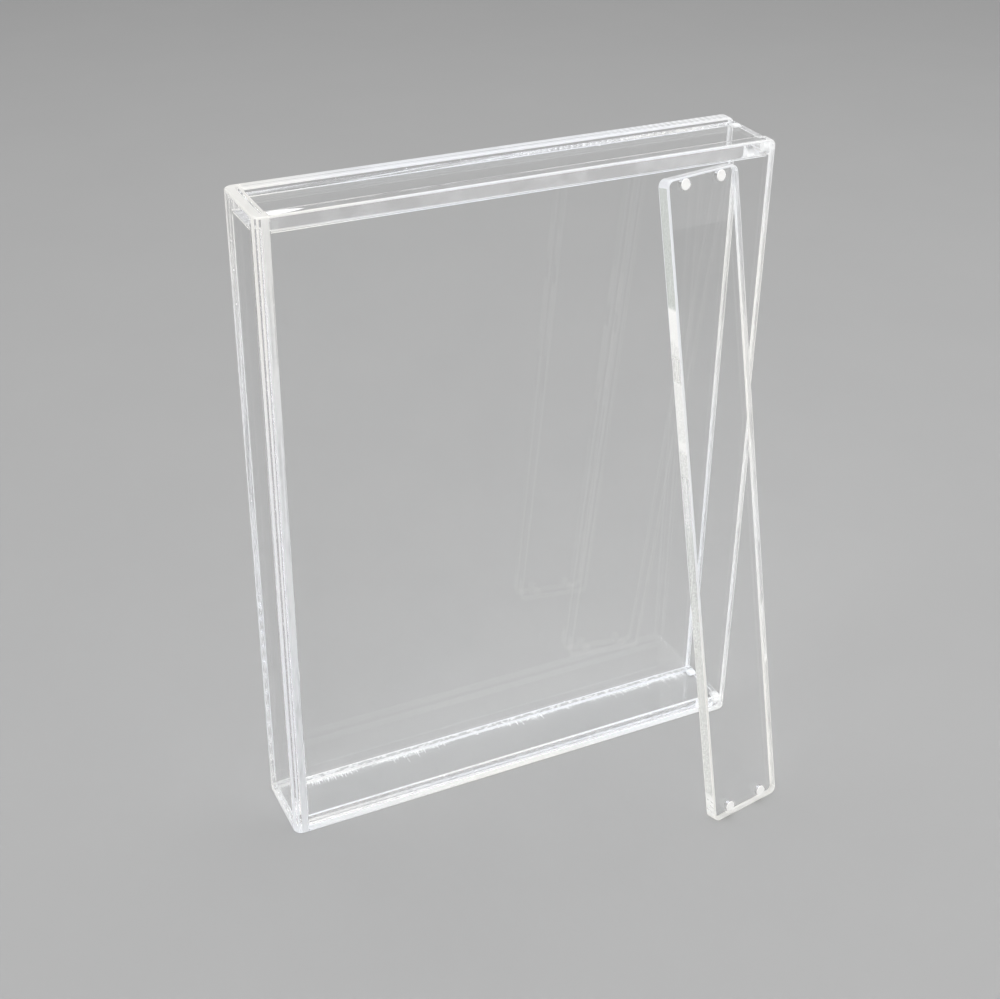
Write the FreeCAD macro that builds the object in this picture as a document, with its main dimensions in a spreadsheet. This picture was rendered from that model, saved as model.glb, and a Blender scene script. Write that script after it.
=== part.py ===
import FreeCAD, Part
import os
import Sketcher

# Clear acrylic display case for one film disc box.
# A five-sided box stands upright with its right end open, and a loose end door
# with four small magnets leans on its front.
# Millimetres, +X towards the open end, +Y towards the back, +Z up.
# The origin is the centre of the underside of the case.

os.makedirs("parts", exist_ok=True)
doc = FreeCAD.newDocument("disc_display_case")
sheet = doc.addObject("Spreadsheet::Sheet", "Sizes")
sheet.Label = "Sizes"

SIZES = [
    # outer size of the case without its door
    ("case_width", 142.0),
    ("case_depth", 24.0),
    ("case_height", 186.0),
    # sheet thickness of each kind of panel
    ("wall_thickness", 4.0),
    ("slab_thickness", 4.0),
    ("side_thickness", 4.0),
    ("door_thickness", 4.0),
    # the walls stand this much above the top panel
    ("top_recess", 1.0),
    # rounded corners and polished edges
    ("wall_corner_radius", 1.8),
    ("side_edge_radius", 2.5),
    ("door_corner_radius", 2.0),
    ("edge_bevel", 0.5),
    # round magnets set into blind pockets
    ("magnet_diameter", 3.0),
    ("magnet_length", 2.0),
    ("magnet_bevel", 0.2),
    # left between a magnet and the inner face of the nearest wall
    ("magnet_margin", 0.5),
    ("pocket_clearance", 0.05),
    # how the door leans on the front of the case, in degrees
    # from the foot of its left edge to the open end of the case
    ("door_foot_inset", 31.3),
    ("door_yaw", 10.0),
    ("door_tilt", 12.2),
    ("rest_gap", 0.3),
]


def fill_sheet():
    for row, (alias, value) in enumerate(SIZES, start=1):
        sheet.set("A%d" % row, alias)
        sheet.set("B%d" % row, str(value))
        sheet.setAlias("B%d" % row, alias)
    doc.recompute()


fill_sheet()

# Terms used more than once.
PANEL_RUN = "(Sizes.case_width - Sizes.side_thickness)"
INNER_DEPTH = "(Sizes.case_depth - 2 * Sizes.wall_thickness)"
POCKET_RADIUS = "(Sizes.magnet_diameter / 2 + Sizes.pocket_clearance)"
LEFT_INSIDE = "(Sizes.side_thickness - Sizes.case_width / 2)"
TOP_SLAB_BASE = "(Sizes.case_height - Sizes.top_recess - Sizes.slab_thickness)"
MAGNET_OFFSET = (
    "(Sizes.case_depth / 2 - Sizes.wall_thickness"
    " - Sizes.magnet_margin - Sizes.magnet_diameter / 2)"
)


def new_body(name):
    body = doc.addObject("PartDesign::Body", name)
    body.Label = name
    return body


def plane_of(body, role):
    for feature in body.Origin.OriginFeatures:
        if feature.Role == role:
            return feature
    raise ValueError("no plane " + role)


def new_sketch(body, name, role, offset=None):
    """Sketch on one of the body's own planes, moved along its normal by offset."""
    sketch = body.newObject("Sketcher::SketchObject", name)
    sketch.AttachmentSupport = (plane_of(body, role), [""])
    sketch.MapMode = "FlatFace"
    if offset:
        sketch.setExpression("AttachmentOffset.Base.z", offset)
    return sketch


def add_rectangle(sketch, across, up):
    """Rectangle from the sketch origin, with both sides bound to the sheet."""
    corners = [(0, 0), (10, 0), (10, 20), (0, 20)]
    lines = []
    for i in range(4):
        start = FreeCAD.Vector(corners[i][0], corners[i][1], 0)
        end = FreeCAD.Vector(corners[(i + 1) % 4][0], corners[(i + 1) % 4][1], 0)
        lines.append(sketch.addGeometry(Part.LineSegment(start, end), False))
    for i in range(4):
        sketch.addConstraint(
            Sketcher.Constraint("Coincident", lines[i], 2, lines[(i + 1) % 4], 1)
        )
    sketch.addConstraint(Sketcher.Constraint("Coincident", lines[0], 1, -1, 1))
    sketch.addConstraint(Sketcher.Constraint("Horizontal", lines[0]))
    sketch.addConstraint(Sketcher.Constraint("Vertical", lines[1]))
    sketch.addConstraint(Sketcher.Constraint("Horizontal", lines[2]))
    sketch.addConstraint(Sketcher.Constraint("Vertical", lines[3]))
    wide = sketch.addConstraint(Sketcher.Constraint("Distance", lines[0], 10.0))
    tall = sketch.addConstraint(Sketcher.Constraint("Distance", lines[1], 20.0))
    sketch.renameConstraint(wide, "across")
    sketch.renameConstraint(tall, "up")
    sketch.setExpression("Constraints.across", across)
    sketch.setExpression("Constraints.up", up)


def add_circle(sketch, index, across, up, radius):
    """Circle placed from the sketch origin, all three sizes bound to the sheet."""
    guess = FreeCAD.Vector(3.0 + 9.0 * index, 3.0, 0)
    circle = sketch.addGeometry(Part.Circle(guess, FreeCAD.Vector(0, 0, 1), 1.0), False)
    size = sketch.addConstraint(Sketcher.Constraint("Radius", circle, 1.0))
    side = sketch.addConstraint(Sketcher.Constraint("DistanceX", -1, 1, circle, 3, guess.x))
    rise = sketch.addConstraint(Sketcher.Constraint("DistanceY", -1, 1, circle, 3, guess.y))
    for constraint, word, formula in (
        (size, "radius", radius),
        (side, "across", across),
        (rise, "up", up),
    ):
        label = "%s_%d" % (word, index)
        sketch.renameConstraint(constraint, label)
        sketch.setExpression("Constraints." + label, formula)


def add_pad(body, sketch, name, length):
    pad = body.newObject("PartDesign::Pad", name)
    pad.Profile = sketch
    pad.setExpression("Length", length)
    doc.recompute()
    return pad


def add_pockets(body, name, role, offset, centres):
    """Blind magnet pockets cut in from the face that lies at offset."""
    sketch = new_sketch(body, name + "_sketch", role, offset)
    for index, (across, up) in enumerate(centres):
        add_circle(sketch, index, across, up, POCKET_RADIUS)
    pocket = body.newObject("PartDesign::Pocket", name)
    pocket.Profile = sketch
    pocket.setExpression("Length", "Sizes.magnet_length")
    before = body.Shape.Volume
    doc.recompute()
    if body.Shape.Volume >= before:
        raise RuntimeError("pockets cut nothing in " + body.Label)
    return pocket


def edge_names(shape, test):
    """Names of the edges whose ends and middle all pass the test."""
    names = []
    for number, edge in enumerate(shape.Edges, start=1):
        middle = edge.valueAt((edge.FirstParameter + edge.LastParameter) / 2)
        points = [vertex.Point for vertex in edge.Vertexes] + [middle]
        if all(test(point) for point in points):
            names.append("Edge%d" % number)
    return names


def dress(body, kind, name, size, test):
    """Fillet or chamfer on the edges that pass the test."""
    base = body.Tip
    names = edge_names(base.Shape, test)
    if not names:
        raise RuntimeError("no edges for " + name)
    feature = body.newObject(kind, name)
    feature.Base = (base, names)
    feature.setExpression("Radius" if kind.endswith("Fillet") else "Size", size)
    doc.recompute()
    return feature


def near(a, b):
    return abs(a - b) < 1e-4


def place(body, x="0", y="0", z="0"):
    body.setExpression("Placement.Base.x", x)
    body.setExpression("Placement.Base.y", y)
    body.setExpression("Placement.Base.z", z)


def make_slab(name, height):
    """Top or bottom panel, held between the walls, with two pockets in its end."""
    body = new_body(name)
    sketch = new_sketch(body, name + "_outline", "XY_Plane")
    add_rectangle(sketch, PANEL_RUN, INNER_DEPTH)
    add_pad(body, sketch, name + "_sheet", "Sizes.slab_thickness")
    middle = "Sizes.slab_thickness / 2"
    centres = [
        (INNER_DEPTH + " / 2 - " + MAGNET_OFFSET, middle),
        (INNER_DEPTH + " / 2 + " + MAGNET_OFFSET, middle),
    ]
    add_pockets(body, name + "_pockets", "YZ_Plane", PANEL_RUN, centres)
    place(body, LEFT_INSIDE, "Sizes.wall_thickness - Sizes.case_depth / 2", height)
    return body


def make_wall(name, inner_face, outer_is_front):
    """Front or back panel. Its right corners are rounded in the plane of the sheet."""
    body = new_body(name)
    sketch = new_sketch(body, name + "_outline", "XZ_Plane")
    add_rectangle(sketch, PANEL_RUN, "Sizes.case_height")
    add_pad(body, sketch, name + "_sheet", "Sizes.wall_thickness")
    run = sheet.case_width - sheet.side_thickness
    height = sheet.case_height
    dress(
        body,
        "PartDesign::Fillet",
        name + "_corners",
        "Sizes.wall_corner_radius",
        lambda p: near(p.x, run) and (near(p.z, 0) or near(p.z, height)),
    )
    outer = -sheet.wall_thickness if outer_is_front else 0.0
    dress(
        body,
        "PartDesign::Chamfer",
        name + "_edges",
        "Sizes.edge_bevel",
        lambda p: near(p.y, outer)
        and (not near(p.x, 0) or near(p.z, 0) or near(p.z, height)),
    )
    place(body, LEFT_INSIDE, inner_face)
    return body


def make_side():
    """Closed left end. It covers the ends of the other panels."""
    body = new_body("side_panel")
    sketch = new_sketch(body, "side_panel_outline", "YZ_Plane")
    add_rectangle(sketch, "Sizes.case_depth", "Sizes.case_height")
    add_pad(body, sketch, "side_panel_sheet", "Sizes.side_thickness")
    depth = sheet.case_depth
    height = sheet.case_height
    inner = sheet.side_thickness
    dress(
        body,
        "PartDesign::Fillet",
        "side_panel_round_edges",
        "Sizes.side_edge_radius",
        lambda p: near(p.x, 0) and (near(p.y, 0) or near(p.y, depth)),
    )
    dress(
        body,
        "PartDesign::Chamfer",
        "side_panel_edges",
        "Sizes.edge_bevel",
        lambda p: (near(p.z, 0) or near(p.z, height)) and p.x < inner - 0.01,
    )
    place(body, "-Sizes.case_width / 2", "-Sizes.case_depth / 2")
    return body


def make_door():
    """Loose end door. Its four pockets face the viewer while it leans on the case."""
    body = new_body("end_door")
    sketch = new_sketch(body, "end_door_outline", "XZ_Plane")
    add_rectangle(sketch, "Sizes.case_depth", "Sizes.case_height")
    add_pad(body, sketch, "end_door_sheet", "Sizes.door_thickness")
    depth = sheet.case_depth
    height = sheet.case_height
    dress(
        body,
        "PartDesign::Fillet",
        "end_door_corners",
        "Sizes.door_corner_radius",
        lambda p: (near(p.x, 0) or near(p.x, depth)) and (near(p.z, 0) or near(p.z, height)),
    )
    faces = (0.0, -sheet.door_thickness)
    dress(
        body,
        "PartDesign::Chamfer",
        "end_door_edges",
        "Sizes.edge_bevel",
        lambda p: near(p.y, faces[0]) or near(p.y, faces[1]),
    )
    add_pockets(body, "end_door_pockets", "XZ_Plane", "Sizes.door_thickness", DOOR_CENTRES)
    return body


# Magnet centres on the door, across and up from its lower left corner. The door
# leans upside down, so its upper end is the one that meets the bottom panel.
DOOR_ACROSS = (
    "(Sizes.case_depth / 2 - " + MAGNET_OFFSET + ")",
    "(Sizes.case_depth / 2 + " + MAGNET_OFFSET + ")",
)
DOOR_UP = (
    "(Sizes.top_recess + Sizes.slab_thickness / 2)",
    "(Sizes.case_height - Sizes.slab_thickness / 2)",
)
DOOR_CENTRES = [(across, up) for up in DOOR_UP for across in DOOR_ACROSS]


def make_magnet(name):
    """Plated disc magnet with a small bevel round both rims."""
    body = new_body(name)
    sketch = new_sketch(body, name + "_outline", "XY_Plane")
    circle = sketch.addGeometry(
        Part.Circle(FreeCAD.Vector(0, 0, 0), FreeCAD.Vector(0, 0, 1), 1.0), False
    )
    sketch.addConstraint(Sketcher.Constraint("Coincident", circle, 3, -1, 1))
    size = sketch.addConstraint(Sketcher.Constraint("Radius", circle, 1.0))
    sketch.renameConstraint(size, "radius")
    sketch.setExpression("Constraints.radius", "Sizes.magnet_diameter / 2")
    add_pad(body, sketch, name + "_disc", "Sizes.magnet_length")
    length = sheet.magnet_length
    dress(
        body,
        "PartDesign::Chamfer",
        name + "_rims",
        "Sizes.magnet_bevel",
        lambda p: near(p.z, 0) or near(p.z, length),
    )
    return body


# Share of each door direction that points towards the case.
YAW_SINE = "sin(Sizes.door_yaw * 1 deg)"
LEAN_SINE = "(sin(Sizes.door_tilt * 1 deg) * cos(Sizes.door_yaw * 1 deg))"


def lean_door(door):
    """Stand the door on its lower back edge, one upper corner near the front panel."""
    door.setExpression(
        "Placement",
        "create(<<placement>>; create(<<vector>>; %s; %s; %s);"
        " create(<<rotation>>; Sizes.door_yaw; 0; -Sizes.door_tilt))"
        % (
            "Sizes.case_width / 2 - Sizes.door_foot_inset",
            "-Sizes.case_depth / 2 - Sizes.rest_gap"
            " - (Sizes.case_depth - Sizes.door_corner_radius) * " + YAW_SINE
            + " - (Sizes.case_height - Sizes.door_corner_radius) * " + LEAN_SINE
            + " - (Sizes.door_corner_radius - Sizes.edge_bevel)"
            " * sqrt(" + YAW_SINE + "^2 + (" + LEAN_SINE + ")^2)",
            "-Sizes.edge_bevel * sin(Sizes.door_tilt * 1 deg)",
        ),
    )


def build():
    make_slab("bottom_panel", "0")
    make_slab("top_panel", TOP_SLAB_BASE)
    make_wall("front_panel", "Sizes.wall_thickness - Sizes.case_depth / 2", True)
    make_wall("back_panel", "Sizes.case_depth / 2", False)
    make_side()
    door = make_door()
    lean_door(door)

    number = 0
    for height in ("Sizes.slab_thickness / 2", TOP_SLAB_BASE + " + Sizes.slab_thickness / 2"):
        for side in ("-" + MAGNET_OFFSET, MAGNET_OFFSET):
            number += 1
            magnet = make_magnet("case_magnet_%d" % number)
            magnet.setExpression(
                "Placement",
                "create(<<placement>>; create(<<vector>>;"
                " Sizes.case_width / 2 - Sizes.magnet_length; %s; %s);"
                " create(<<rotation>>; create(<<vector>>; 0; 1; 0); 90))" % (side, height),
            )

    for number, (across, up) in enumerate(DOOR_CENTRES, start=1):
        magnet = make_magnet("door_magnet_%d" % number)
        magnet.setExpression(
            "Placement",
            "end_door.Placement * create(<<placement>>; create(<<vector>>;"
            " %s; Sizes.magnet_length - Sizes.door_thickness; %s);"
            " create(<<rotation>>; create(<<vector>>; 1; 0; 0); 90))" % (across, up),
        )
    doc.recompute()


def check_and_export():
    for item in doc.Objects:
        if "Invalid" in item.State or "Error" in item.State:
            raise RuntimeError("feature failed: " + item.Name)
    bodies = [item for item in doc.Objects if item.TypeId == "PartDesign::Body"]
    for body in bodies:
        if body.Shape.isNull() or not body.Shape.isValid():
            raise RuntimeError("bad shape: " + body.Label)
        body.Shape.exportStep("parts/%s.step" % body.Label)


build()
check_and_export()
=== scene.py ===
"""Clear display case for a film disc case, with its loose end door leaning on the front.

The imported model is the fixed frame: millimetre sizes below are of the looks only,
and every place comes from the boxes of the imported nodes. Lengths in the classes are
millimetres, and meshes are written in metres.
"""

import logging
import math
import random
from dataclasses import dataclass, field
from enum import Enum

import bmesh
import bpy
from mathutils import Matrix, Vector


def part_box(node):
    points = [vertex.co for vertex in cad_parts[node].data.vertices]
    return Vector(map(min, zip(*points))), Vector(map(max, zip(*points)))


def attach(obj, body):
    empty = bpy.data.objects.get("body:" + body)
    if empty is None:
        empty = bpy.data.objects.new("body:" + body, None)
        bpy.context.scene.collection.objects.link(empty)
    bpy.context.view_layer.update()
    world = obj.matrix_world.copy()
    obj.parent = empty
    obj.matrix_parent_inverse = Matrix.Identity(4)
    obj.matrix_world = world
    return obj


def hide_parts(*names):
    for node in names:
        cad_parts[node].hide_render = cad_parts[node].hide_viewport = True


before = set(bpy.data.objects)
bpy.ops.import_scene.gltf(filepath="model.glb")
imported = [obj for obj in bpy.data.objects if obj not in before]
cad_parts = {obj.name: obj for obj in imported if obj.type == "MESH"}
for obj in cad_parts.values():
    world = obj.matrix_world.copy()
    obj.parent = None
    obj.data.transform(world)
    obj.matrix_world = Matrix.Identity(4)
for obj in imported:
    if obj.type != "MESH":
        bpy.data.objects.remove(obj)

LOG = logging.getLogger("disc_display_case")
MM = 0.001

# How the door leans, in degrees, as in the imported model.
DOOR_YAW = 10.0
DOOR_TILT = 12.2


# Shader maths


class Value:
    """One number socket of a shader tree; arithmetic on it adds Math nodes."""

    def __init__(self, tree: "ShaderTree", socket: bpy.types.NodeSocket) -> None:
        """Wrap an output socket of the tree."""
        self.tree = tree
        self.socket = socket

    def _maths(self, operation: str, first: object, second: object) -> "Value":
        """Add one Math node.

        Args:
            operation: The Math node's operation.
            first: A Value or a plain number.
            second: A Value or a plain number.

        Returns:
            The node's result.
        """
        return self.tree.value(
            "ShaderNodeMath", {"operation": operation}, {0: first, 1: second}
        )

    def __add__(self, other: object) -> "Value":
        """self + other."""
        return self._maths("ADD", self, other)

    def __radd__(self, other: object) -> "Value":
        """other + self."""
        return self._maths("ADD", other, self)

    def __sub__(self, other: object) -> "Value":
        """self - other."""
        return self._maths("SUBTRACT", self, other)

    def __rsub__(self, other: object) -> "Value":
        """other - self."""
        return self._maths("SUBTRACT", other, self)

    def __mul__(self, other: object) -> "Value":
        """self * other."""
        return self._maths("MULTIPLY", self, other)

    def __rmul__(self, other: object) -> "Value":
        """other * self."""
        return self._maths("MULTIPLY", other, self)

    def wave(self, length: float) -> "Value":
        """Sine wave from -1 to 1 that repeats after length."""
        return self._maths("SINE", self * (2 * math.pi / length), 0.0)

    def ramp(self, low: float, high: float) -> "Value":
        """0 below low and 1 above high, smooth between them."""
        return self.tree.value(
            "ShaderNodeMapRange",
            {"interpolation_type": "SMOOTHSTEP", "clamp": True},
            {"Value": self, "From Min": low, "From Max": high},
        )


class ShaderTree:
    """The node tree of one new material."""

    def __init__(self, name: str) -> None:
        """Make a material with an empty tree."""
        self.material = bpy.data.materials.new(name)
        self.material.use_nodes = True
        self.tree = self.material.node_tree
        self.tree.nodes.clear()

    def node(
        self,
        kind: str,
        settings: dict[str, object] | None = None,
        sockets: dict[str | int, object] | None = None,
    ) -> bpy.types.Node:
        """Add a node.

        Args:
            kind: The node's type.
            settings: Properties set first. "stops" holds a colour ramp's stops.
            sockets: Values, Value wrappers or output sockets by input name or number.

        Returns:
            The new node.
        """
        node = self.tree.nodes.new(kind)
        for name, setting in (settings or {}).items():
            if name == "stops":
                self.set_stops(node, setting)
            else:
                setattr(node, name, setting)
        for name, given in (sockets or {}).items():
            target = node.inputs[name]
            if isinstance(given, Value):
                self.tree.links.new(given.socket, target)
            elif isinstance(given, bpy.types.NodeSocket):
                self.tree.links.new(given, target)
            else:
                target.default_value = given
        return node

    @staticmethod
    def set_stops(node: bpy.types.Node, stops: list[tuple[float, tuple]]) -> None:
        """Give a colour ramp its stops, in order."""
        elements = node.color_ramp.elements
        while len(elements) < len(stops):
            elements.new(1.0)
        for element, (place, colour) in zip(elements, stops):
            element.position = place
            element.color = colour

    def value(
        self,
        kind: str,
        settings: dict[str, object] | None = None,
        sockets: dict[str | int, object] | None = None,
        output: str | int = 0,
    ) -> Value:
        """Add a node and wrap one of its outputs."""
        return Value(self, self.node(kind, settings, sockets).outputs[output])

    def place(self) -> bpy.types.NodeSocket:
        """The object's own coordinates, in metres."""
        return self.node("ShaderNodeTexCoord").outputs["Object"]

    def along(self, axis: int) -> Value:
        """One of the object's own coordinates, in metres."""
        return self.value("ShaderNodeSeparateXYZ", None, {"Vector": self.place()}, axis)

    def noise(
        self, scale: float, detail: float = 2.0, stretch: tuple = (1.0, 1.0, 1.0)
    ) -> Value:
        """Noise from 0 to 1.

        Args:
            scale: Waves per metre.
            detail: Octaves.
            stretch: Share of the scale along each axis.

        Returns:
            The noise's factor.
        """
        scaled = self.node(
            "ShaderNodeMapping", None, {"Vector": self.place(), "Scale": stretch}
        ).outputs["Vector"]
        return self.value(
            "ShaderNodeTexNoise",
            None,
            {"Vector": scaled, "Scale": scale, "Detail": detail},
            "Fac",
        )

    def blend(self, share: Value, low: tuple, high: tuple) -> bpy.types.NodeSocket:
        """A colour between low and high."""
        mix = self.node(
            "ShaderNodeMix",
            {"data_type": "RGBA"},
            {"Factor": share, 6: (*low, 1.0), 7: (*high, 1.0)},
        )
        return mix.outputs[2]

    def finish(self, surface: bpy.types.NodeSocket) -> bpy.types.Material:
        """Connect the surface and return the material."""
        self.node("ShaderNodeOutputMaterial", None, {"Surface": surface})
        return self.material


# Finishes


@dataclass(frozen=True)
class ClearAcrylic:
    """Cast acrylic sheet: clear, glossy, with faint waves, haze and hairlines."""

    name: str = "clear_acrylic"
    tint: tuple[float, float, float] = (0.996, 0.997, 0.997)
    haze_tint: tuple[float, float, float] = (0.982, 0.985, 0.986)
    ior: float = 1.49
    wave_scale: float = 30.0
    wave_height: float = 0.000003
    shadow_tint: tuple[float, float, float] = (0.96, 0.963, 0.966)

    def build(self) -> bpy.types.Material:
        """Make the material."""
        tree = ShaderTree(self.name)
        haze = tree.noise(55.0, 3.0).ramp(0.45, 0.8)
        hairline = tree.noise(900.0, 1.0, (1.0, 1.0, 0.02)).ramp(0.74, 0.8)
        bump = tree.node(
            "ShaderNodeBump",
            None,
            {
                "Strength": 0.35,
                "Distance": self.wave_height,
                "Height": tree.noise(self.wave_scale, 1.0),
            },
        )
        glass = tree.node(
            "ShaderNodeBsdfPrincipled",
            None,
            {
                "Base Color": tree.blend(haze, self.tint, self.haze_tint),
                "Roughness": haze * 0.012 + hairline * 0.05,
                "IOR": self.ior,
                "Transmission Weight": 1.0,
                "Normal": bump.outputs["Normal"],
            },
        )
        return tree.finish(let_light_through(tree, glass.outputs[0], self.shadow_tint))


@dataclass(frozen=True)
class MilkyEdge:
    """Sawn and polished edge of the sheet: the clear body under a milky skin. The skin's white is
    partly the frosting of a sawn edge and partly painted light, standing for light piped along the
    sheet and for edge highlights.

    milk is the skin's share, and streaks is how much that share changes along the edge.
    """

    name: str
    milk: float
    streaks: float = 0.0
    glow: float = 0.4
    cool_colour: tuple[float, float, float] = (0.94, 0.955, 0.985)
    warm_colour: tuple[float, float, float] = (0.97, 0.96, 0.93)
    tint: tuple[float, float, float] = (0.985, 0.99, 0.99)
    ior: float = 1.49
    streak_scale: float = 34.0
    stretch: tuple[float, float, float] = (1.0, 1.0, 1.0)
    blend_edges: tuple[float, float] = (0.44, 0.53)
    saw_pitch: float = 0.0018
    saw_depth: float = 0.0
    shadow_tint: tuple[float, float, float] = (0.78, 0.79, 0.8)

    def build(self) -> bpy.types.Material:
        """Make the material."""
        tree = ShaderTree(self.name)
        streak = tree.noise(self.streak_scale, 1.0, self.stretch).ramp(*self.blend_edges)
        grain = tree.noise(700.0, 2.0).ramp(0.4, 0.65)
        warm = tree.noise(9.0, 1.0).ramp(0.4, 0.6)
        ticks = tree.along(0).wave(self.saw_pitch).ramp(-0.3, 0.3)
        sawn = ticks * tree.along(0).ramp(0.02, 0.05) * tree.along(2).ramp(0.1, 0.12)
        bump = tree.node(
            "ShaderNodeBump",
            None,
            {"Strength": 0.1, "Distance": 0.00001, "Height": grain},
        )
        glass = tree.node(
            "ShaderNodeBsdfPrincipled",
            None,
            {
                "Base Color": (*self.tint, 1.0),
                "Roughness": streak * 0.015 + 0.005,
                "IOR": self.ior,
                "Transmission Weight": 1.0,
            },
        )
        colour = tree.blend(warm, self.cool_colour, self.warm_colour)
        milk = tree.node(
            "ShaderNodeBsdfPrincipled",
            None,
            {
                "Base Color": colour,
                "Roughness": grain * 0.12 + 0.14,
                "IOR": self.ior,
                "Normal": bump.outputs["Normal"],
            },
        )
        lit_within = tree.node("ShaderNodeBsdfTranslucent", None, {"Color": colour})
        skin = tree.node(
            "ShaderNodeMixShader",
            None,
            {0: self.glow, 1: milk.outputs[0], 2: lit_within.outputs[0]},
        )
        share = self.milk + (streak - 0.5) * self.streaks - sawn * self.saw_depth
        mixed = tree.node(
            "ShaderNodeMixShader",
            None,
            {0: share.ramp(0.0, 1.0), 1: glass.outputs[0], 2: skin.outputs[0]},
        )
        return tree.finish(let_light_through(tree, mixed.outputs[0], self.shadow_tint))


@dataclass(frozen=True)
class SandedRim:
    """Long rim of the door: sanded in some stretches, polished clear in others.

    stretches gives, from the foot up, where each begins as a share of the height,
    how milky it is and how much of the milk is white rather than sage grey.
    """

    name: str = "sanded_rim"
    height: float = 0.182
    stretches: tuple[tuple[float, float, float], ...] = (
        (0.0, 0.95, 1.0),
        (0.05, 0.5, 0.35),
        (0.3, 0.45, 0.2),
        (0.5, 0.12, 0.1),
        (0.575, 0.55, 0.7),
        (0.615, 0.95, 1.0),
        (0.63, 0.8, 0.85),
        (0.72, 0.2, 0.2),
        (0.755, 0.7, 0.8),
        (0.775, 0.95, 1.0),
        (0.825, 0.75, 0.0),
    )
    fade: float = 0.004
    white: tuple[float, float, float] = (0.95, 0.95, 0.93)
    sage: tuple[float, float, float] = (0.6, 0.63, 0.6)
    tick_pitch: float = 0.0016
    shadow_tint: tuple[float, float, float] = (0.78, 0.79, 0.78)

    def _stops(self, column: int) -> list[tuple[float, tuple]]:
        """Ramp stops of one column of the stretches, with short fades."""
        stops = []
        for i, stretch in enumerate(self.stretches):
            shade = (stretch[column],) * 3 + (1.0,)
            if i:
                before = (self.stretches[i - 1][column],) * 3 + (1.0,)
                stops.append((stretch[0] - self.fade, before))
            stops.append((stretch[0], shade))
        return stops

    def build(self) -> bpy.types.Material:
        """Make the material."""
        tree = ShaderTree(self.name)
        rise = tree.along(2) * (1 / self.height)
        milk_share = tree.value(
            "ShaderNodeValToRGB", {"stops": self._stops(1)}, {"Fac": rise}
        )
        whiteness = tree.value(
            "ShaderNodeValToRGB", {"stops": self._stops(2)}, {"Fac": rise}
        )
        sand = tree.noise(2600.0, 2.0).ramp(0.42, 0.62)
        scratch = tree.noise(500.0, 1.0, (1.0, 1.0, 0.06)).ramp(0.6, 0.7)
        tick = tree.along(2).wave(self.tick_pitch).ramp(0.55, 0.9)
        low_down = 1.0 - rise.ramp(0.03, 0.05)
        mark = tick * low_down * tree.noise(600.0, 1.0).ramp(0.45, 0.55)
        bump = tree.node(
            "ShaderNodeBump",
            None,
            {"Strength": 0.3, "Distance": 0.00002, "Height": sand + scratch},
        )
        glass = tree.node(
            "ShaderNodeBsdfPrincipled",
            None,
            {
                "Base Color": (0.985, 0.99, 0.99, 1.0),
                "Roughness": sand * 0.05 + 0.05,
                "IOR": 1.49,
                "Transmission Weight": 1.0,
            },
        )
        colour = tree.blend(whiteness, self.sage, self.white)
        milk = tree.node(
            "ShaderNodeBsdfPrincipled",
            None,
            {
                "Base Color": colour,
                "Roughness": sand * 0.2 + 0.35,
                "IOR": 1.49,
                "Normal": bump.outputs["Normal"],
            },
        )
        share = milk_share + (sand - 0.5) * 0.12 + scratch * 0.15 - mark * 0.7
        mixed = tree.node(
            "ShaderNodeMixShader",
            None,
            {0: share.ramp(0.0, 1.0), 1: glass.outputs[0], 2: milk.outputs[0]},
        )
        return tree.finish(let_light_through(tree, mixed.outputs[0], self.shadow_tint))


@dataclass(frozen=True)
class CementFilm:
    """Cured cement between two sheets: see-through, with milky blotches.

    slant_edges are the slants, from 0 head-on to 1 edge-on, between which it shows up; a film that
    shows only at a slant is a painted reflection.
    """

    name: str
    least: float
    most: float
    blotch_scale: float
    slant_edges: tuple[float, float] = (-1.0, 0.0)
    edges: tuple[float, float] = (0.48, 0.56)
    stretch: tuple[float, float, float] = (1.0, 1.0, 1.0)
    pale: tuple[float, float, float] = (0.95, 0.955, 0.96)
    grey: tuple[float, float, float] = (0.84, 0.845, 0.85)

    def build(self) -> bpy.types.Material:
        """Make the material."""
        tree = ShaderTree(self.name)
        blotch = tree.noise(self.blotch_scale, 3.0, self.stretch).ramp(*self.edges)
        # Where slant_edges are set, the film shows only at a slant: a painted reflection.
        slant = tree.value("ShaderNodeLayerWeight", None, {"Blend": 0.5}, "Facing")
        cover = blotch * (self.most - self.least) + self.least
        film = tree.node(
            "ShaderNodeBsdfPrincipled",
            None,
            {
                "Base Color": tree.blend(blotch, self.grey, self.pale),
                "Roughness": blotch * 0.2 + 0.3,
                "Alpha": cover * slant.ramp(*self.slant_edges),
            },
        )
        return tree.finish(film.outputs[0])


@dataclass(frozen=True)
class NickelPlating:
    """Nickel on a small magnet, with dull specks. plating is how metallic it looks; the object has a
    near-white, barely metallic copy that is a painted highlight and a darker copy that is painted
    shade.
    """

    name: str
    plating: float
    bright: tuple[float, float, float]
    dull: tuple[float, float, float]

    def build(self) -> bpy.types.Material:
        """Make the material."""
        tree = ShaderTree(self.name)
        speck = tree.noise(2600.0, 3.0).ramp(0.5, 0.72)
        bump = tree.node(
            "ShaderNodeBump",
            None,
            {"Strength": 0.2, "Distance": 0.00002, "Height": tree.noise(1800.0, 2.0)},
        )
        metal = tree.node(
            "ShaderNodeBsdfPrincipled",
            None,
            {
                "Base Color": tree.blend(speck, self.bright, self.dull),
                "Metallic": speck * 0.1 + self.plating,
                "Roughness": speck * 0.1 + 0.38,
                "Normal": bump.outputs["Normal"],
            },
        )
        return tree.finish(metal.outputs[0])


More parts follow.
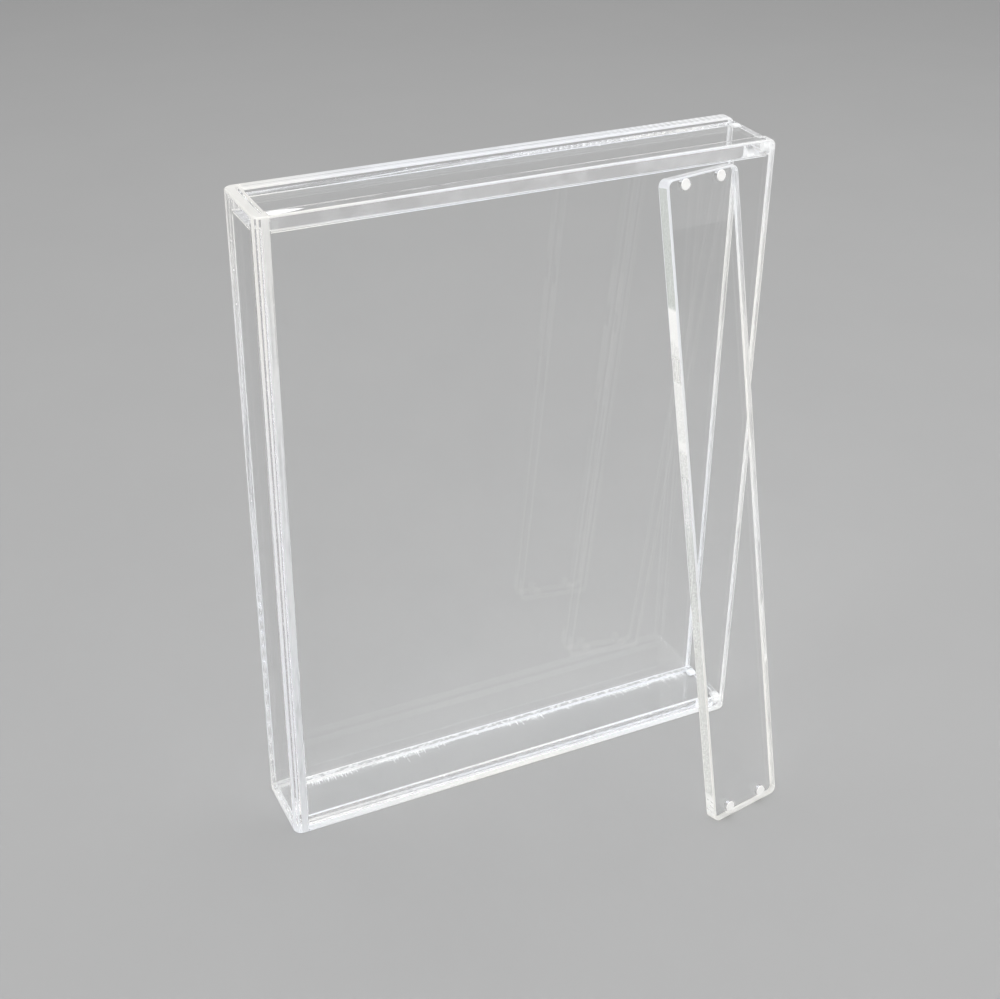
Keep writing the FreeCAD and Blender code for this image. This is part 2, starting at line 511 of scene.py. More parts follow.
@dataclass(frozen=True)
class TrappedAir:
    """Tiny bubble in the cement, seen as a bright pearl."""

    name: str = "trapped_air"
    pearl: tuple[float, float, float] = (0.97, 0.98, 0.99)
    shade: tuple[float, float, float] = (0.8, 0.82, 0.84)

    def build(self) -> bpy.types.Material:
        """Make the material."""
        tree = ShaderTree(self.name)
        mottle = tree.noise(4000.0, 2.0).ramp(0.4, 0.7)
        pearl = tree.node(
            "ShaderNodeBsdfPrincipled",
            None,
            {
                "Base Color": tree.blend(mottle, self.pearl, self.shade),
                "Roughness": mottle * 0.2 + 0.08,
                "IOR": 1.49,
            },
        )
        return tree.finish(pearl.outputs[0])


@dataclass(frozen=True)
class PaleGround:
    """Plain pale studio floor with a barely seen mottle."""

    name: str = "pale_ground"
    light: tuple[float, float, float] = (0.37, 0.37, 0.37)
    dark: tuple[float, float, float] = (0.355, 0.355, 0.356)

    def build(self) -> bpy.types.Material:
        """Make the material."""
        tree = ShaderTree(self.name)
        mottle = tree.noise(14.0, 4.0)
        matte = tree.node(
            "ShaderNodeBsdfPrincipled",
            None,
            {
                "Base Color": tree.blend(mottle, self.light, self.dark),
                "Roughness": mottle * 0.1 + 0.85,
            },
        )
        return tree.finish(matte.outputs[0])


def let_light_through(
    tree: ShaderTree, surface: bpy.types.NodeSocket, tint: tuple[float, float, float]
) -> bpy.types.NodeSocket:
    """Let lamps shine through clear acrylic, dimmed by its tint.

    Args:
        tree: The material's tree.
        surface: The shader that everything but a shadow ray meets.
        tint: What each face lets through.

    Returns:
        The mixed shader.
    """
    clear = tree.node("ShaderNodeBsdfTransparent", None, {"Color": (*tint, 1.0)})
    shadow = tree.node("ShaderNodeLightPath").outputs["Is Shadow Ray"]
    mixed = tree.node(
        "ShaderNodeMixShader", None, {0: shadow, 1: surface, 2: clear.outputs[0]}
    )
    return mixed.outputs[0]


# Mesh helpers


class Skin(Enum):
    """Which of a sheet's surfaces a face belongs to."""

    FACE = 0
    EDGE = 1
    BEVEL = 2
    BRIGHT = 3
    CORNER = 4
    SEAM = 5
    FROST = 6
    RIM = 7


class Side(Enum):
    """A side of a sheet, as the direction it faces in the sheet's own axes."""

    LOW = (0, -1, 0)
    RIGHT = (1, 0, 0)
    HIGH = (0, 1, 0)
    LEFT = (-1, 0, 0)
    START = (0, 0, -1)
    END = (0, 0, 1)


@dataclass
class Finishes:
    """The materials of the whole object, built once."""

    skins: dict[Skin, bpy.types.Material] = field(
        default_factory=lambda: {
            Skin.FACE: ClearAcrylic().build(),
            # Milky edge skins: partly frosting, partly painted light for light piped along the
            # sheets; the near-white bevels are also painted edge highlights.
            Skin.EDGE: MilkyEdge("sawn_edge", 0.5, 0.2).build(),
            Skin.BEVEL: MilkyEdge("bright_bevel", 0.93, 0.1).build(),
            Skin.BRIGHT: MilkyEdge("bright_edge", 0.84, 0.15, saw_depth=0.14).build(),
            # Grey-streaked skin: its streaks are blotchy frosting, and their grey is a painted
            # reflection of darker surroundings.
            Skin.CORNER: MilkyEdge(
                "streaked_edge_and_painted_reflection",
                0.7,
                0.5,
                cool_colour=(0.86, 0.87, 0.89),
                warm_colour=(0.9, 0.895, 0.88),
                streak_scale=260.0,
                stretch=(1.0, 1.0, 0.22),
                blend_edges=(0.36, 0.64),
            ).build(),
            Skin.SEAM: CementFilm("clear_cement", 0.01, 0.05, 160.0).build(),
            # Frosted cement of the rear foot seam; it shows only at a slant, where its white is a
            # painted reflection of the seam's air voids.
            Skin.FROST: CementFilm(
                "frosted_cement_and_painted_reflection", 0.45, 0.75, 700.0, slant_edges=(0.1, 0.35)
            ).build(),
            Skin.RIM: SandedRim().build(),
        }
    )
    # Painted highlight: near-white, barely metallic nickel for the magnet faces and all of the case
    # magnets.
    nickel_painted_highlight: bpy.types.Material = field(
        default_factory=lambda: NickelPlating(
            "nickel_painted_highlight", 0.15, (0.985, 0.98, 0.965), (0.93, 0.925, 0.91)
        ).build()
    )
    # Painted shade: darker copy of the same nickel for the sides of the door's magnets.
    nickel_painted_shade: bpy.types.Material = field(
        default_factory=lambda: NickelPlating(
            "nickel_painted_shade", 0.85, (0.62, 0.61, 0.59), (0.4, 0.39, 0.38)
        ).build()
    )
    dried: bpy.types.Material = field(
        default_factory=lambda: CementFilm("dried_cement", 0.8, 1.0, 1600.0).build()
    )
    # Painted highlight: opaque near-white film for the lens on the front sheet's top rim.
    rim_glint: bpy.types.Material = field(
        default_factory=lambda: CementFilm(
            "painted_rim_highlight", 1.0, 1.0, 300.0, grey=(0.93, 0.935, 0.94)
        ).build()
    )
    haze: bpy.types.Material = field(
        default_factory=lambda: CementFilm("dried_haze", 0.2, 0.5, 1200.0).build()
    )
    air: bpy.types.Material = field(default_factory=lambda: TrappedAir().build())

    def sheet(self) -> list[bpy.types.Material]:
        """Materials of a sheet, in the order of Skin."""
        return [self.skins[skin] for skin in Skin]


def add_object(name: str, mesh: bpy.types.Mesh) -> bpy.types.Object:
    """Link a new object that holds the mesh."""
    thing = bpy.data.objects.new(name, mesh)
    bpy.context.scene.collection.objects.link(thing)
    return thing


def plain_mesh(thing: bpy.types.Object) -> bpy.types.Mesh:
    """The object's mesh with its modifiers worked in."""
    graph = bpy.context.evaluated_depsgraph_get()
    graph.update()
    return bpy.data.meshes.new_from_object(thing.evaluated_get(graph))


def box_centre(node: str) -> Vector:
    """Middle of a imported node's box, in metres."""
    low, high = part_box(node)
    return (low + high) / 2


def box_size(node: str) -> Vector:
    """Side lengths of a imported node's box, in metres."""
    low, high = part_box(node)
    return high - low


def dress(
    piece: bpy.types.Object, body: str, nodes: tuple[str, ...]
) -> bpy.types.Object:
    """Fasten a finished piece to its body.

    Args:
        piece: The piece, at the origin.
        body: The body it rides on.
        nodes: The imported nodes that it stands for.

    Returns:
        The piece.
    """
    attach(piece, body)
    if nodes:
        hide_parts(*nodes)
    LOG.info("%s: %d faces on %s", piece.name, len(piece.data.polygons), body)
    return piece


# Sheets


@dataclass
class Pocket:
    """Round blind pocket, in the sheet's own millimetres from its middle."""

    across: float
    up: float
    depth: float = 2.0
    radius: float = 1.55
    sides: int = 40


@dataclass(frozen=True)
class Patch:
    """Part of a flat face that has its own skin, as a box in metres in the frame."""

    axis: int
    low: tuple[float, float, float]
    high: tuple[float, float, float]
    skin: Skin

    def holds(self, spot: Vector, axes: tuple[int, ...]) -> bool:
        """Whether the spot lies between the box's sides along these axes."""
        return all(self.low[i] <= spot[i] <= self.high[i] for i in axes)

    def plane_faces(self, grid: bmesh.types.BMesh) -> list[bmesh.types.BMFace]:
        """Flat faces of the mesh that lie in the patch's plane."""
        grid.normal_update()
        return [
            face
            for face in grid.faces
            if abs(face.normal[self.axis]) > 0.999
            and self.holds(face.calc_center_bounds(), (self.axis,))
        ]


@dataclass
class Sheet:
    """One acrylic sheet with rounded corners and softened edges.

    The sheet is drawn across and up and has its depth along the third direction.
    turn takes those three directions into the frame.
    """

    node: str
    body: str
    slot: str
    size: tuple[float, float, float]
    turn: Matrix
    corner_radii: tuple[float, float, float, float]
    bevel: float = 0.5
    film: float = 0.015
    corner_steps: int = 7
    bevel_steps: int = 4
    pockets: tuple[Pocket, ...] = ()
    pocket_skin: Skin = Skin.FACE
    lips: dict[Side, float] = field(default_factory=dict)
    skins: dict[Side, Skin] = field(default_factory=dict)
    arcs: dict[tuple[int, int], Skin] = field(default_factory=dict)
    patches: tuple[Patch, ...] = ()

    def _loop(self, inset: float) -> list[tuple[float, float]]:
        """Outline of the sheet, drawn in by inset, in millimetres."""
        half_across = self.size[0] / 2 - self.film
        half_up = self.size[1] / 2 - self.film
        points = []
        for number, radius in enumerate(self.corner_radii):
            side = (-1, 1, 1, -1)[number]
            rise = (-1, -1, 1, 1)[number]
            lip_across = self.lips.get(Side.LEFT if side < 0 else Side.RIGHT, 1.0)
            lip_up = self.lips.get(Side.LOW if rise < 0 else Side.HIGH, 1.0)
            wide = max(radius, self.bevel * lip_across + 0.02)
            tall = max(radius, self.bevel * lip_up + 0.02)
            middle = (side * (half_across - wide), rise * (half_up - tall))
            for step in range(self.corner_steps + 1):
                angle = math.radians(180 + 90 * number + 90 * step / self.corner_steps)
                points.append(
                    (
                        middle[0] + (wide - inset * lip_across) * math.cos(angle),
                        middle[1] + (tall - inset * lip_up) * math.sin(angle),
                    )
                )
        return points

    def _levels(self) -> list[tuple[float, float]]:
        """(inset, depth) of each ring of points, from one face to the other."""
        half = self.size[2] / 2 - self.film
        rings = []
        for step in range(self.bevel_steps + 1):
            angle = math.pi / 2 * step / self.bevel_steps
            inset = self.bevel * (1 - math.sin(angle))
            rings.append((inset, -half + self.bevel * (1 - math.cos(angle))))
        return rings + [(inset, -depth) for inset, depth in reversed(rings)]

    def _solid(self) -> bpy.types.Mesh:
        """The sheet without pockets."""
        grid = bmesh.new()
        rings = [
            [
                grid.verts.new(Vector((across, up, depth)) * MM)
                for across, up in self._loop(inset)
            ]
            for inset, depth in self._levels()
        ]
        skins = {
            grid.faces.new(rings[0]): self.skins.get(Side.START, Skin.FACE),
            grid.faces.new(rings[-1]): self.skins.get(Side.END, Skin.FACE),
        }
        count = len(rings[0])
        for level, (low, high) in enumerate(zip(rings, rings[1:])):
            for i in range(count):
                j = (i + 1) % count
                face = grid.faces.new((low[i], low[j], high[j], high[i]))
                skins[face] = self._skin_of(level, i)
        bmesh.ops.recalc_face_normals(grid, faces=grid.faces)
        for face, skin in skins.items():
            face.material_index = skin.value
            face.smooth = max(abs(part) for part in face.normal) < 0.999
        mesh = bpy.data.meshes.new(self.node + "_sheet")
        grid.to_mesh(mesh)
        grid.free()
        return mesh

    def _skin_of(self, level: int, point: int) -> Skin:
        """Skin of the face that starts at this point of this ring."""
        corner, step = divmod(point, self.corner_steps + 1)
        side = (Side.LOW, Side.RIGHT, Side.HIGH, Side.LEFT)[corner]
        flat = step == self.corner_steps
        if level != self.bevel_steps:
            return Skin.SEAM if flat and self.lips.get(side, 1.0) < 0.2 else Skin.BEVEL
        if not flat:
            return self.arcs.get((corner, step), Skin.BRIGHT)
        return self.skins.get(side, Skin.EDGE)

    def _lay_patches(self, mesh: bpy.types.Mesh) -> None:
        """Split the flat faces round each patch and give the patch its skin."""
        grid = bmesh.new()
        grid.from_mesh(mesh)
        for patch in self.patches:
            others = tuple(i for i in range(3) if i != patch.axis)

            for axis in others:
                for corner in (patch.low, patch.high):
                    faces = patch.plane_faces(grid)
                    edges = {edge for face in faces for edge in face.edges}
                    points = {point for face in faces for point in face.verts}
                    direction = Vector([float(i == axis) for i in range(3)])
                    bmesh.ops.bisect_plane(
                        grid,
                        geom=[*faces, *edges, *points],
                        dist=1e-7,
                        plane_co=Vector(corner),
                        plane_no=direction,
                    )
            for face in patch.plane_faces(grid):
                if patch.holds(face.calc_center_bounds(), others):
                    face.material_index = patch.skin.value
        grid.to_mesh(mesh)
        grid.free()

    def _cut_pockets(self, mesh: bpy.types.Mesh, materials: list) -> bpy.types.Mesh:
        """Cut the blind pockets into the face at the end of the depth."""
        grid = bmesh.new()
        mouth = self.size[2] / 2
        for pocket in self.pockets:
            reach = 2 * pocket.depth
            spot = Vector((pocket.across, pocket.up, mouth)) * MM
            bmesh.ops.create_cone(
                grid,
                cap_ends=True,
                segments=pocket.sides,
                radius1=pocket.radius * MM,
                radius2=pocket.radius * MM,
                depth=reach * MM,
                matrix=Matrix.Translation(spot),
            )
        for face in grid.faces:
            face.material_index = self.pocket_skin.value
            face.smooth = abs(face.normal.z) < 0.5
        cutter_mesh = bpy.data.meshes.new("pocket_cutter")
        grid.to_mesh(cutter_mesh)
        grid.free()
        cutter = add_object("pocket_cutter", cutter_mesh)
        block = add_object("pocket_block", mesh)
        for material in materials:
            cutter_mesh.materials.append(material)
        cut = block.modifiers.new("pockets", "BOOLEAN")
        cut.operation = "DIFFERENCE"
        cut.solver = "EXACT"
        cut.object = cutter
        result = plain_mesh(block)
        bpy.data.objects.remove(block)
        bpy.data.objects.remove(cutter)
        return result

    def build(self, finishes: Finishes) -> bpy.types.Object:
        """Make the sheet and fasten it to its body."""
        mesh = self._solid()
        for material in finishes.sheet():
            mesh.materials.append(material)
        if self.pockets:
            mesh = self._cut_pockets(mesh, finishes.sheet())
        place = Matrix.Translation(box_centre(self.node)) @ self.turn.to_4x4()
        mesh.transform(place)
        if place.to_3x3().determinant() < 0:
            mesh.flip_normals()
        self._lay_patches(mesh)
        piece = add_object(self.node + "_sheet", mesh)
        mesh.name = piece.name
        return dress(piece, self.body, (self.node,))


def turned(across: tuple, up: tuple, depth: tuple) -> Matrix:
    """Matrix whose columns are the three directions."""
    return Matrix((across, up, depth)).transposed()


def door_turn() -> Matrix:
    """How the leaning door is turned."""
    yaw = Matrix.Rotation(math.radians(DOOR_YAW), 3, "Z")
    return yaw @ Matrix.Rotation(math.radians(-DOOR_TILT), 3, "X")


@dataclass
class CaseBox:
    """The five cemented sheets of the case."""

    small_radius: float = 0.08
    wall_radius: float = 1.8
    side_radius: float = 2.5
    wall_bevel: float = 0.5
    foot_line: tuple[float, float] = (0.5, 1.0)
    rim_line: tuple[float, float] = (1.5, 1.75)
    seam_foot: tuple[float, float] = (0.25, 1.3)
    plate_line: tuple[float, float] = (2.6, 3.15)
    slab_bevel: float = 0.2
    slab_radius: float = 0.25
    magnet_inset: float = 6.0

    def _lip(self, name: str, axis: int, far: bool) -> float:
        """How far a sheet's softened edge reaches in from one of its ends."""
        if name in ("bottom_panel", "top_panel"):
            return self.slab_bevel * MM
        if axis == 1 or (axis == 0 and not far):
            return 0.05 * MM
        return self.wall_bevel * MM

    def _joint(self, name: str, other: str) -> Patch | None:
        """Where the other sheet is cemented to this one, if it is."""
        low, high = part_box(name)
        other_low, other_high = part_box(other)
        start = [max(low[i], other_low[i]) for i in range(3)]
        end = [min(high[i], other_high[i]) for i in range(3)]
        touching = [i for i in range(3) if abs(end[i] - start[i]) < 0.05 * MM]
        if len(touching) != 1:
            return None
        axis = touching[0]
        sheets = ((low, high, name), (other_low, other_high, other))
        for i in range(3):
            if i != axis:
                near, far = start[i], end[i]
                start[i] += max(
                    self._lip(sheet, i, False) for box, _, sheet in sheets if near - box[i] < 1e-5
                )
                end[i] -= max(
                    self._lip(sheet, i, True) for _, box, sheet in sheets if box[i] - far < 1e-5
                )
        start[axis] -= 0.05 * MM
        end[axis] += 0.05 * MM
        # The rear foot seam gets the frosted film, which also carries a painted reflection.
        frosted = (name, other) == ("bottom_panel", "back_panel")
        skin = Skin.FROST if frosted else Skin.SEAM
        return Patch(axis, tuple(start), tuple(end), skin)

    def _joints(self, name: str) -> tuple[Patch, ...]:
        """Where the other sheets are cemented to this one."""
        names = ("front_panel", "back_panel", "side_panel", "bottom_panel", "top_panel")
        found = [self._joint(name, other) for other in names if other != name]
        return tuple(patch for patch in found if patch)

    def _clear_line(self, name: str) -> Patch:
        """Clearer line along the foot of the front wall or the rim of the back wall."""
        low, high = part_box(name)
        at_foot = high.y < 0
        height = low.z if at_foot else high.z
        near, far = self.foot_line if at_foot else self.rim_line
        start = (low.x, low.y + near * MM, height - 0.05 * MM)
        end = (high.x, low.y + far * MM, height + 0.05 * MM)
        return Patch(2, start, end, Skin.FACE if at_foot else Skin.EDGE)

    def _seam_foot(self) -> Patch:
        """White line where cement filled the foot of the rear seam."""
        low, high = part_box("bottom_panel")
        near, far = self.seam_foot
        start = (low.x + MM, high.y - 0.05 * MM, low.z + near * MM)
        end = (high.x - MM, high.y + 0.05 * MM, low.z + far * MM)
        return Patch(1, start, end, Skin.BEVEL)

    def _plate_line(self) -> Patch:
        """Clear line along the inner side of the left sheet's top rim."""
        low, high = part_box("side_panel")
        near, far = self.plate_line
        start = (low.x + near * MM, low.y + 2.6 * MM, high.z - 0.05 * MM)
        end = (low.x + far * MM, high.y - 2.6 * MM, high.z + 0.05 * MM)
        return Patch(2, start, end, Skin.FACE)

    def _wall(self, name: str, skins: dict[Side, Skin]) -> Sheet:
        """Front or back sheet, with its right corners rounded."""
        size = box_size(name) / MM
        small = self.small_radius
        return Sheet(
            node=name,
            body="case",
            slot="case_acrylic",
            size=(size.x, size.z, size.y),
            turn=turned((1, 0, 0), (0, 0, 1), (0, 1, 0)),
            corner_radii=(small, self.wall_radius, self.wall_radius, small),
            lips={Side.LEFT: 0.1},
            skins=skins,
            patches=(*self._joints(name), self._clear_line(name)),
        )

    def _side(self) -> Sheet:
        """Left sheet, drawn from above, with its two outer upright edges rounded."""
        size = box_size("side_panel") / MM
        small = self.small_radius
        return Sheet(
            node="side_panel",
            body="case",
            slot="case_acrylic",
            size=(size.x, size.y, size.z),
            turn=turned((1, 0, 0), (0, 1, 0), (0, 0, 1)),
            corner_radii=(self.side_radius, small, small, self.side_radius),
            lips={Side.RIGHT: 0.3},
            skins={
                Side.START: Skin.BRIGHT,
                Side.END: Skin.BRIGHT,
                Side.LEFT: Skin.FACE,
                Side.RIGHT: Skin.FACE,
                # The front end gets the grey-streaked skin, whose grey is a painted reflection.
                Side.LOW: Skin.CORNER,
                Side.HIGH: Skin.BEVEL,
            },
            # Painted highlight lines: strips of the front outer rounded corner alternate white bevel
            # skin with clear acrylic.
            arcs={
                (0, 0): Skin.FACE,
                (0, 1): Skin.BEVEL,
                (0, 2): Skin.BEVEL,
                (0, 3): Skin.FACE,
                (0, 4): Skin.BEVEL,
                (0, 5): Skin.FACE,
                (0, 6): Skin.CORNER,
                (3, 0): Skin.FACE,
                (3, 1): Skin.FACE,
                (3, 2): Skin.FACE,
                (3, 3): Skin.FACE,
            },
            patches=(*self._joints("side_panel"), self._plate_line()),
        )

    def _slab(self, name: str) -> Sheet:
        """Top or bottom sheet, drawn from the open end, with its two pockets."""
        size = box_size(name) / MM
        pockets = (Pocket(-self.magnet_inset, 0), Pocket(self.magnet_inset, 0))
        patches = self._joints(name)
        if name == "bottom_panel":
            patches = (*patches, self._seam_foot())
        return Sheet(
            node=name,
            body="case",
            slot="case_acrylic",
            size=(size.y, size.z, size.x),
            turn=turned((0, 1, 0), (0, 0, 1), (1, 0, 0)),
            corner_radii=(self.slab_radius,) * 4,
            bevel=self.slab_bevel,
            pockets=pockets,
            # White pocket walls: adhesive round the magnets, whose whiteness is partly a painted
            # highlight for the glints there.
            pocket_skin=Skin.BEVEL,
            skins={
                Side.LOW: Skin.FACE,
                Side.HIGH: Skin.FACE,
                Side.START: Skin.EDGE,
                Side.END: Skin.EDGE,
            },
            patches=patches,
        )

    def build(self, finishes: Finishes) -> None:
        """Make every sheet of the case."""
        for sheet in (
            self._wall("front_panel", {Side.LOW: Skin.BRIGHT, Side.HIGH: Skin.FACE}),
            self._wall("back_panel", {Side.LOW: Skin.FACE, Side.HIGH: Skin.BRIGHT}),
            self._side(),
            self._slab("bottom_panel"),
            self._slab("top_panel"),
        ):
            sheet.build(finishes)


@dataclass
class EndDoor:
    """The loose end door, leaning upside down on the front."""

    width: float = 24.0
    height: float = 186.0
    thickness: float = 4.0
    corner_radius: float = 2.0
    magnet_inset: float = 6.0
    low_row: float = 3.0
    high_row: float = 184.0

    def build(self, finishes: Finishes) -> None:
        """Make the door."""
        turn = door_turn()
        across = turn @ Vector((1, 0, 0))
        up = turn @ Vector((0, 0, 1))
        front = turn @ Vector((0, -1, 0))
        pockets = tuple(
            Pocket(side * self.magnet_inset, row - self.height / 2)
            for row in (self.low_row, self.high_row)
            for side in (-1, 1)
        )
        Sheet(
            node="end_door",
            body="door",
            slot="door_acrylic",
            size=(self.width, self.height, self.thickness),
            turn=turned(across, up, front),
            corner_radii=(self.corner_radius,) * 4,
            pockets=pockets,
            skins={Side.LOW: Skin.BRIGHT, Side.HIGH: Skin.EDGE, Side.LEFT: Skin.RIM},
            arcs={(corner, step): Skin.BEVEL for corner in (0, 1, 3) for step in range(7)},
        ).build(finishes)


# Magnets


@dataclass
class DiscMagnets:
    """The plated disc magnets of one body, each a turned disc with rolled rims."""

    body: str
    axis: Vector
    # When set, the sides get the darker nickel copy: painted shade.
    painted_shade_side: bool = False
    radius: float = 1.5
    length: float = 2.0
    rim: float = 0.2
    dish: float = 0.03
    rim_steps: int = 5
    sides: int = 48

    def _profile(self) -> list[tuple[float, float]]:
        """(radius, height) from the middle of one face to the middle of the other."""
        half = self.length / 2
        points = [(0.0, half - self.dish), (self.radius * 0.55, half - self.dish)]
        points.append((self.radius - self.rim * 1.6, half))
        for step in range(self.rim_steps + 1):
            angle = math.pi / 2 * step / self.rim_steps
            out = self.radius - self.rim * (1 - math.sin(angle))
            points.append((out, half - self.rim * (1 - math.cos(angle))))
        return points + [(out, -rise) for out, rise in reversed(points)]

    def _mesh(self, name: str, centre: Vector) -> bpy.types.Mesh:
        """One magnet, turned round its axis at its centre."""
        grid = bmesh.new()
        turn = Vector((0, 0, 1)).rotation_difference(self.axis).to_matrix()
        profile = self._profile()
        rings = []
        for out, rise in profile[1:-1]:
            ring = []
            for side in range(self.sides):
                angle = 2 * math.pi * side / self.sides
                spot = Vector((out * math.cos(angle), out * math.sin(angle), rise))
                ring.append(grid.verts.new(centre + turn @ (spot * MM)))
            rings.append(ring)
        for low, high in zip(rings, rings[1:]):
            for i in range(self.sides):
                j = (i + 1) % self.sides
                grid.faces.new((low[i], low[j], high[j], high[i]))
        for ring, (_, rise) in ((rings[0], profile[0]), (rings[-1], profile[-1])):
            hub = grid.verts.new(centre + turn @ (Vector((0, 0, rise)) * MM))
            for i in range(self.sides):
                grid.faces.new((hub, ring[i], ring[(i + 1) % self.sides]))
        bmesh.ops.recalc_face_normals(grid, faces=grid.faces)
        for face in grid.faces:
            face.smooth = True
            face.material_index = int(abs(face.normal.dot(self.axis)) < 0.3)
        mesh = bpy.data.meshes.new(name)
        grid.to_mesh(mesh)
        grid.free()
        return mesh

    def build(self, finishes: Finishes) -> None:
        """Make the body's four magnets."""
        for number in range(1, 5):
            node = "%s_magnet_%d" % (self.body, number)
            mesh = self._mesh(node + "_disc", box_centre(node))
            # Faces take the near-white nickel (painted highlight); sides take the darker copy
            # (painted shade) when asked.
            mesh.materials.append(finishes.nickel_painted_highlight)
            side = finishes.nickel_painted_shade if self.painted_shade_side else finishes.nickel_painted_highlight
            mesh.materials.append(side)
            piece = add_object(node + "_disc", mesh)
            dress(piece, self.body, (node,))


# Cemented seams


class GeometryTree:
    """A Geometry Nodes tree with named inputs that ends in one plain mesh."""

    def __init__(self, name: str) -> None:
        """Make the tree with its geometry input and output."""
        self.group = bpy.data.node_groups.new(name, "GeometryNodeTree")
        face = self.group.interface
        face.new_socket("Geometry", in_out="INPUT", socket_type="NodeSocketGeometry")
        face.new_socket("Geometry", in_out="OUTPUT", socket_type="NodeSocketGeometry")
        self.values: dict[str, object] = {}

    def add_input(self, name: str, kind: str, value: object) -> None:
        """Add a named input and the value that it is given."""
        socket = self.group.interface.new_socket(name, in_out="INPUT", socket_type=kind)
        self.values[socket.identifier] = value

    def start(self) -> bpy.types.Node:
        """The node that holds the inputs."""
        return self.group.nodes.new("NodeGroupInput")

    def node(
        self,
        kind: str,
        settings: dict[str, object] | None = None,
        sockets: dict[str | int, object] | None = None,
    ) -> bpy.types.Node:
        """Add a node.

        Args:
            kind: The node's type.
            settings: Properties set first.
            sockets: Values or output sockets by input name or number.

        Returns:
            The new node.
        """
        node = self.group.nodes.new(kind)
        for name, setting in (settings or {}).items():
            setattr(node, name, setting)
        for name, given in (sockets or {}).items():
            if isinstance(given, bpy.types.NodeSocket):
                self.group.links.new(given, node.inputs[name])
            else:
                node.inputs[name].default_value = given
        return node

    def maths(self, operation: str, first: object, second: object) -> object:
        """One Math node's result."""
        node = self.node(
            "ShaderNodeMath", {"operation": operation}, {0: first, 1: second}
        )
        return node.outputs[0]

    def run(
        self, shape: bpy.types.NodeSocket, material: object, base: bpy.types.Mesh
    ) -> bpy.types.Mesh:
        """End the tree and work it out on a base mesh.

        Args:
            shape: The geometry so far.
            material: The output socket that holds the material.
            base: The mesh that the tree starts from.

        Returns:
            The plain mesh.
        """
        real = self.node("GeometryNodeRealizeInstances", None, {"Geometry": shape})
        smooth = self.node(
            "GeometryNodeSetShadeSmooth", None, {"Geometry": real.outputs[0]}
        )
        painted = self.node(
            "GeometryNodeSetMaterial",
            None,
            {"Geometry": smooth.outputs[0], "Material": material},
        )
        self.node("NodeGroupOutput", None, {0: painted.outputs[0]})
        holder = add_object("seam_lines", base)
        modifier = holder.modifiers.new(self.group.name, "NODES")
        modifier.node_group = self.group
        for identifier, value in self.values.items():
            modifier[identifier] = value
        mesh = plain_mesh(holder)
        holder.modifiers.remove(modifier)
        bpy.data.objects.remove(holder)
        return mesh


@dataclass(frozen=True)
class SeamLine:
    """Straight line along a cemented seam, in millimetres.

    amount is the seam's share of bubbles, or how thick its bead is.
    """

    start: tuple[float, float, float]
    end: tuple[float, float, float]
    amount: float


def line_mesh(lines: list[SeamLine]) -> bpy.types.Mesh:
    """One loose edge for each line, with its amount as an attribute."""
    points = [Vector(spot) * MM for line in lines for spot in (line.start, line.end)]
    edges = [(2 * i, 2 * i + 1) for i in range(len(lines))]
    mesh = bpy.data.meshes.new("seam_lines")
    mesh.from_pydata(points, edges, [])
    amount = mesh.attributes.new("amount", "FLOAT", "POINT")
    amount.data.foreach_set("value", [line.amount for line in lines for _ in range(2)])
    return mesh


